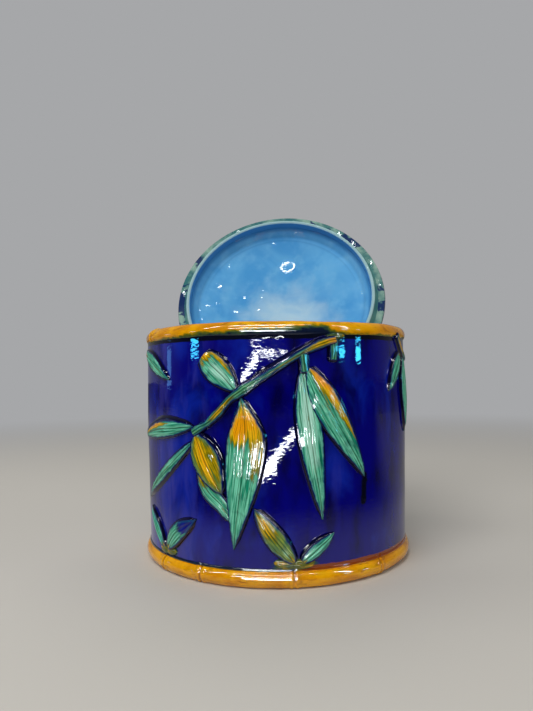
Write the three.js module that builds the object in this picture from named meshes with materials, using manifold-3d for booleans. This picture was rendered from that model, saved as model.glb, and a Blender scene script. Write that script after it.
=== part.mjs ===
// A round covered pot of majolica-glazed earthenware with leafy sprigs in relief, shown open:
// its lid stands on edge in the mouth and leans back on its handle.
// Millimetres, +Z up. The origin is the centre of the underside, and -Y is the front.

import * as THREE from 'three';
import { mergeVertices } from 'three/addons/utils/BufferGeometryUtils.js';
import Module from 'manifold-3d';

const wasm = await Module();
wasm.setup();

// ---------------------------------------------------------------- driving dimensions
const GAP = 0.3; // between clay pieces that meet
const TURN_SIDES = 60; // facets round the pot
const LID_SIDES = 48; // facets round the lid

const OUTER_RADIUS = 100; // outside of the rim roll
const POT_HEIGHT = 166; // top of the rim roll
const FOOT_ROLL = 5; // half the thickness of the foot roll
const RIM_ROLL = 5.5; // half the thickness of the rim roll
const FOOT_TOP = 13.5; // top of the cove above the foot roll
const RIM_LOW = 155.3; // underside of the rim band
const MOUTH_RADIUS = 85.6; // inside of the rim band
const WALL_INSIDE = 87.5; // inside of the wall
const BODY_FOOT = 89.7; // body behind the foot band
const FOOT_RING = [81, 88.5]; // flat ring that the pot stands on
const FOOT_RECESS = 2; // depth of the hollow inside that ring
const FLOOR_TOP = 11; // inside floor of the pot

// Outside of the wall, as height and radius: it widens a little towards the shoulder.
const WALL = [[FOOT_TOP, 97.3], [50, 98], [105, 99], [RIM_LOW, 98.8]];

const LID_RADIUS = 90; // outside of the lid's edge
const DOME_HEIGHT = 26; // crown of the dome above the lid's seat
const FLANGE = { inner: 78, outer: 83.5, depth: 6.3 }; // ring that centres the closed lid
const HANDLE = { span: 36, reach: 62.4, thickness: 5, bar: 17 };

// Where the open lid stands: centre of its seat plane, lean back from upright, and turn.
const LID_CENTRE = [5.2, 40, 198.9];
const LID_LEAN = 26.3;
const LID_TURN = -6.8;

// Relief stands this far off the surface it lies on, at its edges and along its middle.
const RELIEF = { seat: 0.5, edge: 1.3, crest: 2.3 };
const RELIEF_MARGIN = 0.35; // room left round a sprig that lies over another

// ---------------------------------------------------------------- colours
const glaze = (color, roughness = 0.15) => new THREE.MeshStandardMaterial({ color, roughness, metalness: 0 });
const COBALT = glaze(0x10148a);
const AMBER = glaze(0xd8930f);
const TWIG_GREEN = glaze(0x5f9a78);
const LEAF_GREEN = glaze(0x6fc09a);
const LEAF_GOLD = glaze(0xc9a21c);
const PALE_BLUE = glaze(0x6fa9d6);
const TEAL = glaze(0x3d7f8c);

// ---------------------------------------------------------------- helpers
const radians = THREE.MathUtils.degToRad;

function interpolate(table, x) {
  const last = table.length - 1;
  if (x <= table[0][0]) return table[0][1];
  if (x >= table[last][0]) return table[last][1];
  const i = table.findIndex(([key]) => key > x) - 1;
  const [[x0, y0], [x1, y1]] = [table[i], table[i + 1]];
  return y0 + ((y1 - y0) * (x - x0)) / (x1 - x0);
}

// Turns a profile of [radius, height] points round Z. It runs anticlockwise, radius to the right.
function turned(profile, sides) {
  const points = profile.map(([r, z]) => new THREE.Vector2(r, z));
  if (profile[0][0] > 0) points.push(points[0].clone());
  const geometry = new THREE.LatheGeometry(points, sides);
  geometry.rotateX(Math.PI / 2);
  return geometry;
}

// Points of an arc in a profile, from one angle to another in degrees, 0 pointing outward.
function arc([r, z], radius, from, to, steps) {
  return Array.from({ length: steps + 1 }, (_, i) => {
    const a = radians(from + ((to - from) * i) / steps);
    return [r + radius * Math.cos(a), z + radius * Math.sin(a)];
  });
}

function piece(name, geometry, material) {
  const mesh = new THREE.Mesh(geometry, material);
  mesh.name = name;
  return mesh;
}

function toSolid(geometry) {
  const bare = geometry.clone();
  bare.deleteAttribute('normal');
  bare.deleteAttribute('uv');
  const merged = mergeVertices(bare, 1e-4);
  return new wasm.Manifold(new wasm.Mesh({
    numProp: 3,
    vertProperties: new Float32Array(merged.attributes.position.array),
    triVerts: new Uint32Array(merged.index.array),
  }));
}

function toGeometry(solid) {
  const mesh = solid.getMesh();
  const geometry = new THREE.BufferGeometry();
  geometry.setAttribute('position', new THREE.BufferAttribute(mesh.vertProperties, 3));
  geometry.setIndex(new THREE.BufferAttribute(mesh.triVerts, 1));
  return geometry;
}

// The largest of the bodies that a cut leaves.
function largest(solid) {
  return solid.decompose().sort((a, b) => b.volume() - a.volume())[0];
}

// ---------------------------------------------------------------- the pot
const wallRadius = (z) => interpolate(WALL, z);

function potBody() {
  return turned([
    [0, FOOT_RECESS],
    [FOOT_RING[0] - FOOT_RECESS, FOOT_RECESS],
    [FOOT_RING[0], 0],
    [FOOT_RING[1], 0],
    [BODY_FOOT, 1.2],
    [BODY_FOOT, FOOT_TOP + GAP],
    [wallRadius(0), FOOT_TOP + GAP],
    ...WALL.slice(1, -1).map(([z, r]) => [r, z]),
    [wallRadius(RIM_LOW), RIM_LOW - GAP],
    [WALL_INSIDE, RIM_LOW - GAP],
    [WALL_INSIDE, 26],
    [85, FLOOR_TOP + 6],
    [76, FLOOR_TOP],
    [0, FLOOR_TOP],
  ], TURN_SIDES);
}

function rimBand() {
  const centre = [OUTER_RADIUS - RIM_ROLL, POT_HEIGHT - RIM_ROLL];
  return turned([
    [MOUTH_RADIUS, RIM_LOW],
    [wallRadius(RIM_LOW) - 0.6, RIM_LOW],
    ...arc(centre, RIM_ROLL, -35, 110, 5),
    [MOUTH_RADIUS + 2.2, POT_HEIGHT - 2.4],
    [MOUTH_RADIUS, POT_HEIGHT - 4.6],
  ], TURN_SIDES);
}

function footBand() {
  const centre = [OUTER_RADIUS - FOOT_ROLL - 0.3, FOOT_ROLL + GAP];
  return turned([
    [BODY_FOOT + GAP, centre[1] - FOOT_ROLL],
    ...arc(centre, FOOT_ROLL, -90, 60, 5),
    [wallRadius(0) - 0.4, FOOT_TOP - 3],
    [wallRadius(0), FOOT_TOP],
    [BODY_FOOT + GAP, FOOT_TOP],
  ], TURN_SIDES);
}

// ---------------------------------------------------------------- relief sprigs
// A sprig runs along a spine of [across, up] points. A leaf has its widest place a share of the
// way along, and a blunt one keeps its width nearly to the tip; a twig has a width at each end.
const leaf = (spine, half, peak = 0.36, fullness = 1.7) => ({ spine, half, peak, fullness });
const twig = (spine, half, end = half) => ({ spine, half, end });

function halfWidth(sprig, t) {
  if (sprig.end !== undefined) return sprig.half + (sprig.end - sprig.half) * t;
  const rise = sprig.fullness * sprig.peak;
  const fall = sprig.fullness * (1 - sprig.peak);
  const peakValue = sprig.peak ** rise * (1 - sprig.peak) ** fall;
  return Math.max(0.5, (sprig.half * (t ** rise * (1 - t) ** fall)) / peakValue);
}

// A closed pad over a surface, which place(across, up, height) gives in space.
function reliefPad(sprig, place, rows, margin = 0) {
  const curve = new THREE.CatmullRomCurve3(sprig.spine.map(([a, b]) => new THREE.Vector3(a, b, 0)));
  const columns = sprig.half > 6 ? 4 : 2;
  const positions = [];
  for (const outer of [0, 1]) {
    for (let row = 0; row <= rows; row++) {
      const t = row / rows;
      const at = curve.getPointAt(t);
      const along = curve.getTangentAt(t);
      if (row === 0) at.addScaledVector(along, -margin);
      if (row === rows) at.addScaledVector(along, margin);
      for (let column = 0; column <= columns; column++) {
        const side = (2 * column) / columns - 1;
        const reach = side * (halfWidth(sprig, t) + margin);
        const crest = RELIEF.edge + (RELIEF.crest - RELIEF.edge) * (1 - Math.abs(side));
        const height = outer ? crest + 8 * margin : RELIEF.seat - margin;
        positions.push(...place(at.x - along.y * reach, at.y + along.x * reach, height));
      }
    }
  }
  const geometry = new THREE.BufferGeometry();
  geometry.setAttribute('position', new THREE.Float32BufferAttribute(positions, 3));
  geometry.setIndex(padFaces(rows, columns));
  return geometry;
}

// Triangles of a pad: two grids of points, inner then outer, and the strip round their edges.
function padFaces(rows, columns) {
  const index = [];
  const layer = (rows + 1) * (columns + 1);
  const id = (outer, row, column) => outer * layer + row * (columns + 1) + column;
  const quad = (a, b, c, d) => index.push(a, c, b, a, d, c);
  for (let row = 0; row < rows; row++) {
    for (let column = 0; column < columns; column++) {
      quad(id(1, row, column), id(1, row, column + 1), id(1, row + 1, column + 1), id(1, row + 1, column));
      quad(id(0, row, column), id(0, row + 1, column), id(0, row + 1, column + 1), id(0, row, column + 1));
    }
    quad(id(0, row, 0), id(1, row, 0), id(1, row + 1, 0), id(0, row + 1, 0));
    quad(id(0, row, columns), id(0, row + 1, columns), id(1, row + 1, columns), id(1, row, columns));
  }
  for (let column = 0; column < columns; column++) {
    quad(id(0, 0, column), id(0, 0, column + 1), id(1, 0, column + 1), id(1, 0, column));
    quad(id(0, rows, column), id(1, rows, column), id(1, rows, column + 1), id(0, rows, column + 1));
  }
  return index;
}

// On the wall, "across" is the distance round the pot from the front, at OUTER_RADIUS.
function onWall(across, up, height) {
  const z = THREE.MathUtils.clamp(up, FOOT_TOP + 2 * GAP, RIM_LOW - 2 * GAP);
  const r = wallRadius(z) + height;
  const angle = across / OUTER_RADIUS;
  return [r * Math.sin(angle), -r * Math.cos(angle), z];
}

// The sprigs of one face, in the order they lie: each is cut away under the ones after it.
const WALL_SPRIGS = {
  branch: twig([[38, 151], [30, 151], [21, 148.2], [0, 137], [-13, 128.5], [-24, 122], [-31, 117],
    [-38, 109], [-46, 102], [-55, 96]], 3.4, 2),
  twig_drop: twig([[16, 142], [16.3, 138.5], [16.5, 135]], 2.3),
  twig_stub: twig([[35, 147], [36.2, 144], [37, 140.5]], 2.6, 1.8),
  twig_edge: twig([[97, 151], [108, 149], [118, 143]], 2.8, 2.2),
  leaf_under: leaf([[-55, 73], [-46, 59], [-32, 40]], 4.5, 0.5),
  leaf_large: leaf([[-22.5, 116], [-20.5, 96], [-22.5, 70], [-29.5, 24]], 12.6, 0.29, 1.75),
  leaf_olive: leaf([[-54, 94], [-46, 78], [-36, 58.5]], 11.6, 0.5, 0.95),
  leaf_blunt: leaf([[-29, 124.5], [-38, 134], [-49, 144]], 8.4, 0.62, 0.8),
  leaf_left: leaf([[-61, 99.5], [-92, 97.8], [-126, 91]], 8.4, 0.42, 1.7),
  leaf_narrow: leaf([[-60, 88], [-89, 66.5], [-119, 46]], 4.5, 0.48, 1.3),
  leaf_pale: leaf([[15.5, 134], [18, 111], [23, 70], [27.2, 42]], 9.8, 0.33, 1.9),
  leaf_split: leaf([[19.5, 136], [34, 111.5], [50, 85], [58.5, 66]], 9.2, 0.38, 1.3),
  leaf_sprout_left: leaf([[9, 17], [-4, 32], [-16, 48.5]], 6.6, 0.42, 1.3),
  leaf_sprout_right: leaf([[14, 17], [23, 23.5], [34, 32.5]], 4, 0.4, 1.3),
  leaf_low_left: leaf([[-91, 17], [-101, 28], [-114, 39]], 5.2, 0.42, 1.3),
  leaf_low_right: leaf([[-86, 17], [-75, 29], [-58, 39.5]], 6.4, 0.4, 1.5),
  leaf_high: leaf([[-124, 150], [-104, 141.5], [-82, 130]], 6.4, 0.42, 1.4),
  leaf_edge: leaf([[106, 146], [97, 136], [86.5, 120.5]], 6.4, 0.42, 1.4),
  leaf_side: leaf([[112, 142], [115, 118], [117, 91]], 8.6, 0.42, 1.5),
};

const GOLDEN = ['leaf_olive', 'leaf_split', 'leaf_sprout_left'];

function spriggedFace(face, turn) {
  const group = new THREE.Group();
  const names = Object.keys(WALL_SPRIGS);
  const rowsOf = (sprig) => (sprig.spine.length > 4 ? 11 : 6);
  names.forEach((name, order) => {
    const sprig = WALL_SPRIGS[name];
    let solid = toSolid(reliefPad(sprig, onWall, rowsOf(sprig)));
    for (const above of names.slice(order + 1)) {
      const cover = WALL_SPRIGS[above];
      solid = solid.subtract(toSolid(reliefPad(cover, onWall, rowsOf(cover), RELIEF_MARGIN)));
    }
    const green = name.startsWith('leaf') ? LEAF_GREEN : TWIG_GREEN;
    const material = GOLDEN.includes(name) ? LEAF_GOLD : green;
    group.add(piece(`${face}_${name}`, toGeometry(largest(solid)), material));
  });
  group.rotation.z = turn;
  return group;
}

// ---------------------------------------------------------------- the lid
// In its own frame the seat is at z = 0 and the crown is up.
const DOME = [[0, DOME_HEIGHT], [30, 24.4], [55, 19.4], [75, 12], [86, 6.6], [89.4, 4.2], [LID_RADIUS, 2.2]];

function lidDome() {
  return turned([
    [0, 18.2],
    [26, 17],
    [50, 13.2],
    [70, 7],
    [FLANGE.inner - 0.6, 1.6],
    [FLANGE.inner, 0],
    [LID_RADIUS - 1, 0],
    ...DOME.slice().reverse(),
  ], LID_SIDES);
}

function lidFlange() {
  const { inner, outer, depth } = FLANGE;
  return turned([
    [inner, -depth + 1],
    [inner + 1, -depth],
    [outer - 2, -depth],
    [outer - 0.6, -depth + 1.4],
    [outer, -GAP],
    [inner, -GAP],
  ], LID_SIDES);
}

// A bent twig that springs from the dome at both ends, with room for fingers under it.
function lidHandle() {
  const { span, reach, thickness, bar } = HANDLE;
  const foot = interpolate(DOME, span - thickness) + 2 * GAP;
  const path = new THREE.CatmullRomCurve3([
    [-span, foot], [-span, foot + 10], [-bar - 9, reach - 9], [-bar, reach - 1.2], [0, reach],
    [bar, reach - 1.2], [bar + 9, reach - 9], [span, foot + 10], [span, foot],
  ].map(([x, z]) => new THREE.Vector3(x, 0, z)));
  const section = new THREE.Shape().absarc(0, 0, thickness, 0, 2 * Math.PI);
  return new THREE.ExtrudeGeometry(section, { steps: 22, curveSegments: 5, extrudePath: path });
}

const onDome = (across, up, height) =>
  [across, up, interpolate(DOME, Math.hypot(across, up)) + height];

const LID_LEAF = leaf([[43, 4], [56, 14], [68, 33]], 7, 0.45, 1.3);

function lidLeaf(acrossSide, upSide) {
  const mirrored = leaf(LID_LEAF.spine.map(([a, b]) => [a * acrossSide, b * upSide]), LID_LEAF.half,
    LID_LEAF.peak, LID_LEAF.fullness);
  return toGeometry(toSolid(reliefPad(mirrored, onDome, 6)));
}

function openLid() {
  const lid = new THREE.Group();
  lid.add(piece('lid_dome', lidDome(), PALE_BLUE));
  lid.add(piece('lid_flange', lidFlange(), TEAL));
  lid.add(piece('lid_handle', lidHandle(), AMBER));
  [[1, 1], [-1, 1], [-1, -1], [1, -1]].forEach(([a, b], i) => {
    lid.add(piece(`lid_leaf_${i + 1}`, lidLeaf(a, b), LEAF_GREEN));
  });
  lid.rotation.x = -radians(90 + LID_LEAN);
  const standing = new THREE.Group();
  standing.add(lid);
  standing.rotation.z = radians(LID_TURN);
  standing.position.set(...LID_CENTRE);
  return standing;
}

// ---------------------------------------------------------------- assembly
const pot = new THREE.Group();
pot.add(piece('pot_body', potBody(), COBALT));
pot.add(piece('rim_band', rimBand(), AMBER));
pot.add(piece('foot_band', footBand(), AMBER));
pot.add(spriggedFace('front', 0));
pot.add(spriggedFace('back', Math.PI));
pot.add(openLid());

export default pot;
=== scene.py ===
import math

import bpy
import numpy as np
from mathutils import Matrix, Vector


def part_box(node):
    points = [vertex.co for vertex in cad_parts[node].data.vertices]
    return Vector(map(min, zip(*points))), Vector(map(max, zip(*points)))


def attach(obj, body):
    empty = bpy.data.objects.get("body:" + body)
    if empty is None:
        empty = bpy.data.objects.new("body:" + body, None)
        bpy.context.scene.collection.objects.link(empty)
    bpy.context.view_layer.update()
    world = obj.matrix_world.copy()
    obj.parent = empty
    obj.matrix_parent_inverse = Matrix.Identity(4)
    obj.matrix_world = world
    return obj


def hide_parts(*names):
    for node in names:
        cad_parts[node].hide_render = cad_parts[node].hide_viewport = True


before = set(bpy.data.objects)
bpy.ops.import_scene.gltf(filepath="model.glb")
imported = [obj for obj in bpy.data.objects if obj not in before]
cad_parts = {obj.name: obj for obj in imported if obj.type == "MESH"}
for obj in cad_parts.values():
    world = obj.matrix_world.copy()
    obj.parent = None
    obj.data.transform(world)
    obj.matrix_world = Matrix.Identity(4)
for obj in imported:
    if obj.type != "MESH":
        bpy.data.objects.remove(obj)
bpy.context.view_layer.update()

# A covered pot of majolica-glazed earthenware, open, with its lid standing in the mouth.
# Shapes are worked out in millimetres in the part's own frame, and turned into metres
# when a mesh is made. "Across" is the distance round the wall from the front.

MM = 0.001


# ------------------------------------------------------------------ camera
EYE = Vector((-0.00687, -0.4556, 0.1316))  # the viewpoint, in metres


def set_camera():
    """The viewpoint: in front, a little above the pot's middle, tilted slightly up and rolled a little."""
    tilt, roll = 0.0349, -0.0138
    ahead = Vector((0, math.cos(tilt), math.sin(tilt)))
    above = Vector((0, -math.sin(tilt), math.cos(tilt)))
    beside = Vector((1, 0, 0))
    right = beside * math.cos(roll) + above * math.sin(roll)
    up = above * math.cos(roll) - beside * math.sin(roll)
    data = bpy.data.cameras.new("camera")
    data.lens = 29.11
    camera = bpy.data.objects.new("camera", data)
    bpy.context.scene.collection.objects.link(camera)
    camera.matrix_world = Matrix.Translation(EYE) @ Matrix((right, up, -ahead)).transposed().to_4x4()
    bpy.context.scene.camera = camera


set_camera()


# ------------------------------------------------------------------ sizes from the frame
def node_points(name):
    return np.array([v.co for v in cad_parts[name].data.vertices]) / MM


def wall_table():
    """Height and radius of the wall's outside, from the CAD body's rings."""
    points = node_points("pot_body")
    radius = np.hypot(points[:, 0], points[:, 1])
    outside = radius > 0.96 * radius.max()
    heights = np.round(points[outside, 2], 1)
    return np.array([[z, radius[outside][heights == z].max()] for z in np.unique(heights)])


def lid_frame():
    """The lid's own axes: z out through the handle, x level, y down the plate, 0 at its seat."""
    ring = node_points("lid_flange")
    centre = ring.mean(0)
    axis = np.linalg.svd(ring - centre)[2][2]
    if axis @ (node_points("lid_handle").mean(0) - centre) < 0:
        axis = -axis
    centre = centre + axis * ((node_points("lid_dome") - centre) @ axis).min()
    level = np.cross([0, 0, 1], axis)
    level = level / np.linalg.norm(level) * (1 if level[0] > 0 else -1)
    return centre, np.stack([level, np.cross(axis, level), axis])


RIM_LOW, POT_TOP = (corner.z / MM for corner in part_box("rim_band"))
FOOT_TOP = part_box("foot_band")[1].z / MM
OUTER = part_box("rim_band")[1].x / MM
WALL = wall_table()
LID_CENTRE, LID_AXES = lid_frame()
LID_RADIUS = 90.0
ROLL = 5.4  # half the thickness of the rim and foot rolls
MOUTH = 85.6  # radius of the rim's inside
WALL_INSIDE = 87.5
WALL_MIDDLE = 92  # a radius between the wall's inside and its outside
FLOOR_TOP = 11
FOOT_RECESS = 2
FOOT_RING = (81, 88.5)
BODY_FOOT = 89.7  # radius of the body behind the foot's band
TURNED_SIDES = 420
ROLL_SIDES = 840


def smoothstep(x):
    x = np.clip(x, 0, 1)
    return x * x * (3 - 2 * x)


def hump(x, width):
    return np.exp(-((x / width) ** 2))


def from_front(across):
    """The distance round the wall from the front, negative to the left of it."""
    return np.where(across > math.pi * OUTER, across - 2 * math.pi * OUTER, across)


def wave_noise(a, b, wavelength, seed, count=9):
    """Smooth noise near -1 to 1 from plane waves. a is an angle's arc length at the radius OUTER."""
    rng = np.random.default_rng(seed)
    total = np.zeros(np.broadcast(a, b).shape)
    for _ in range(count):
        turn = rng.uniform(0, 2 * math.pi)
        k = 2 * math.pi / (wavelength * rng.uniform(0.75, 1.4))
        cycles = round(k * math.cos(turn) * OUTER)  # whole waves round the pot
        total += np.sin(cycles * a / OUTER + k * math.sin(turn) * b + rng.uniform(0, 2 * math.pi))
    return total / math.sqrt(count / 2) / 2


def wall_radius(across, up):
    """The wall's radius, with the uneven surface of hand-pressed clay."""
    plain = np.interp(up, WALL[:, 0], WALL[:, 1])
    lumps = 0.02 * wave_noise(across, up, 34, 3) + 0.1 * wave_noise(across, up, 85, 5)
    fade = smoothstep((up - FOOT_TOP) / 8) * smoothstep((RIM_LOW - up) / 8)
    return plain + lumps * fade


def on_wall(across, up, height):
    radius = wall_radius(across, up) + height
    angle = across / OUTER
    return np.stack([radius * np.sin(angle), -radius * np.cos(angle), up + 0 * radius], -1)


def on_back_wall(across, up, height):
    return on_wall(across + math.pi * OUTER, up, height)


# ------------------------------------------------------------------ meshes
def grid_faces(rows, columns, closed=False):
    """Quads of a grid of points; a closed one joins its last column to its first."""
    r = np.arange(rows - 1)[:, None]
    c = np.arange(columns if closed else columns - 1)[None, :]
    beside = (c + 1) % columns
    here, above = r * columns, (r + 1) * columns
    corners = (here + c, here + beside, above + beside, above + c)
    return np.stack(np.broadcast_arrays(*corners), -1).reshape(-1, 4)


def make_piece(name, points, quads, triangles, material, attributes):
    """A smooth mesh object from points in millimetres, with one value per point in each attribute."""
    mesh = bpy.data.meshes.new(name)
    mesh.vertices.add(len(points))
    mesh.vertices.foreach_set("co", (np.asarray(points) * MM).ravel())
    corners = np.concatenate([quads.ravel(), triangles.ravel()]).astype(np.int32)
    sizes = np.concatenate([np.full(len(quads), 4), np.full(len(triangles), 3)]).astype(np.int32)
    mesh.loops.add(len(corners))
    mesh.loops.foreach_set("vertex_index", corners)
    mesh.polygons.add(len(sizes))
    mesh.polygons.foreach_set("loop_start", np.concatenate([[0], np.cumsum(sizes)[:-1]]).astype(np.int32))
    mesh.polygons.foreach_set("loop_total", sizes)
    mesh.polygons.foreach_set("use_smooth", np.ones(len(sizes), bool))
    for key, values in attributes.items():
        layer = mesh.attributes.new(key, "FLOAT", "POINT")
        layer.data.foreach_set("value", np.asarray(values, np.float32).ravel())
    mesh.update(calc_edges=True)
    mesh.materials.append(material)
    piece = bpy.data.objects.new(name, mesh)
    bpy.context.scene.collection.objects.link(piece)
    return piece


# Pieces by body, and the pot's two bands, so that a light can be made to fall on some of them only.
PIECES = {group: bpy.data.collections.new(group + "_pieces") for group in ("pot", "lid", "bands")}


def fit(piece, body, slot, *nodes):
    """Joins a piece to its CAD body and hides the CAD nodes it stands for. slot, its material slot, is not
    used.
    """
    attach(piece, body)
    PIECES[body].objects.link(piece)
    if nodes in (("rim_band",), ("foot_band",)):
        PIECES["bands"].objects.link(piece)
    if nodes:
        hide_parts(*nodes)


def resampled(path, step):
    """Points along a path about one step apart."""
    out = [path[:1]]
    for a, b in zip(path[:-1], path[1:]):
        count = max(1, round(np.linalg.norm(b - a) / step))
        out.append(a + (b - a) * (np.arange(1, count + 1) / count)[:, None])
    return np.concatenate(out)


def filleted(corners, step=1.0):
    """Points about one step apart along a profile of (radius, height, fillet radius) corners."""
    path = []
    for i, (r, z, fillet) in enumerate(corners):
        here = np.array([r, z], float)
        if i in (0, len(corners) - 1) or fillet == 0:
            path.append(here)
            continue
        before = np.array(corners[i - 1][:2], float) - here
        after = np.array(corners[i + 1][:2], float) - here
        reach = 0.49 * min(np.linalg.norm(before), np.linalg.norm(after))
        before, after = before / np.linalg.norm(before), after / np.linalg.norm(after)
        half = math.acos(np.clip(before @ after, -1, 1)) / 2
        cut = min(fillet / math.tan(half), reach)
        start, end = here + before * cut, here + after * cut
        for t in np.linspace(0, 1, 9):
            path.append((1 - t) ** 2 * start + 2 * t * (1 - t) * here + t * t * end)
    return resampled(np.array(path), step)


def pole_fans(sides, rows):
    """Triangles that close both ends of a grid of rings with the two points that follow it."""
    c = np.arange(sides)
    beside = (c + 1) % sides
    first = np.stack([np.full(sides, rows * sides), beside, c], -1)
    last = np.stack([c, beside, np.full(sides, sides + 1)], -1)
    return np.concatenate([first, (rows - 1) * sides + last])


def turned(name, profile, sides, material, looks, place=None, shape=None):
    """A closed turned mesh. Its profile is a loop that ends where it starts, or runs from axis to axis,
    with the solid on its left. shape moves the points, looks gives their attributes, both from
    (across, radius, height); place turns points of the lid's frame into the pot's."""
    across = (np.arange(sides) / sides * 2 * math.pi * OUTER)[None, :]
    poles = profile[[0, -1], 0].max() < 1e-6
    ring = profile[1:-1] if poles else profile[:-1]
    count = len(ring)
    radius, height = np.repeat(ring[:, :1], sides, 1), np.repeat(ring[:, 1:], sides, 1)
    if shape is not None:
        radius, height = shape(across, radius, height)
    angle = across / OUTER
    points = np.stack([radius * np.sin(angle), -radius * np.cos(angle), height], -1).reshape(-1, 3)
    values = {key: (value + 0 * radius).reshape(-1) for key, value in looks(across, radius, height).items()}
    quads = grid_faces(count + 1, sides, closed=True) % (count * sides)
    triangles = np.zeros((0, 3), int)
    if poles:
        quads = grid_faces(count, sides, closed=True)
        points = np.vstack([points, [0, 0, profile[0, 1]], [0, 0, profile[-1, 1]]])
        values = {key: np.concatenate([v, v[[0, -1]]]) for key, v in values.items()}
        triangles = pole_fans(sides, count)
    if place is not None:
        points = place(points)
    return make_piece(name, points, quads, triangles, material, values)


# ------------------------------------------------------------------ relief sprigs
def smooth_spine(points, count):
    """Evenly spaced points, directions and length of a curve through the given points."""
    p = np.array(points, float)
    p = np.vstack([2 * p[0] - p[1], p, 2 * p[-1] - p[-2]])
    fine = []
    for a, b, c, d in zip(p[:-3], p[1:-2], p[2:-1], p[3:]):
        t = np.linspace(0, 1, 60, endpoint=False)[:, None]
        curve = 2 * b + (c - a) * t + (2 * a - 5 * b + 4 * c - d) * t**2 + (3 * b - a - 3 * c + d) * t**3
        fine.append(curve / 2)
    fine = np.vstack([*fine, p[-2:-1]])
    reach = np.concatenate([[0], np.cumsum(np.linalg.norm(np.diff(fine, axis=0), axis=1))])
    at = np.linspace(0, reach[-1], count)
    spine = np.stack([np.interp(at, reach, fine[:, k]) for k in (0, 1)], -1)
    along = np.gradient(spine, axis=0)
    return spine, along / np.linalg.norm(along, axis=1)[:, None], reach[-1]


def leaf(spine, half, peak=0.4, root=0.8, tip=1.0, **looks):
    """A leaf, widest at its peak. root and tip are small for a blunt end and large for a slender one."""
    return {"kind": "leaf", "spine": spine, "half": half, "peak": peak, "root": root, "tip": tip, **looks}


def twig(spine, *halves, **looks):
    """A twig, with half its width at even steps from its start to its end."""
    return {"kind": "twig", "spine": spine, "half": max(halves), "halves": halves, **looks}


def half_width(sprig, t):
    """Half the width of the painted face."""
    if sprig["kind"] == "twig":
        return np.interp(t, np.linspace(0, 1, len(sprig["halves"])), sprig["halves"])
    rising = np.sin(np.clip(t / sprig["peak"], 0, 1) * math.pi / 2) ** sprig["root"]
    falling = np.cos(np.clip((t - sprig["peak"]) / (1 - sprig["peak"]), 0, 1) * math.pi / 2) ** sprig["tip"]
    return sprig["half"] * rising * falling


COLUMN_STEP = 0.34
ROW_STEP = 0.6
CAP_ROWS = 8
SINK = 0.25  # how far a sprig's edge goes under the surface it lies on
PLAIN_SKIRT = ((0, 2.8, 2.8), (1, 2.8, 2.8))


def patches(spots, t, s):
    """The sum of soft spots, each (t, s, reach in t, reach in s, strength)."""
    total = np.zeros(np.broadcast(t, s).shape)
    for at, beside, long, wide, strength in spots:
        total = total + strength * hump(t - at, long) * hump(s - beside, wide)
    return total


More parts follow.
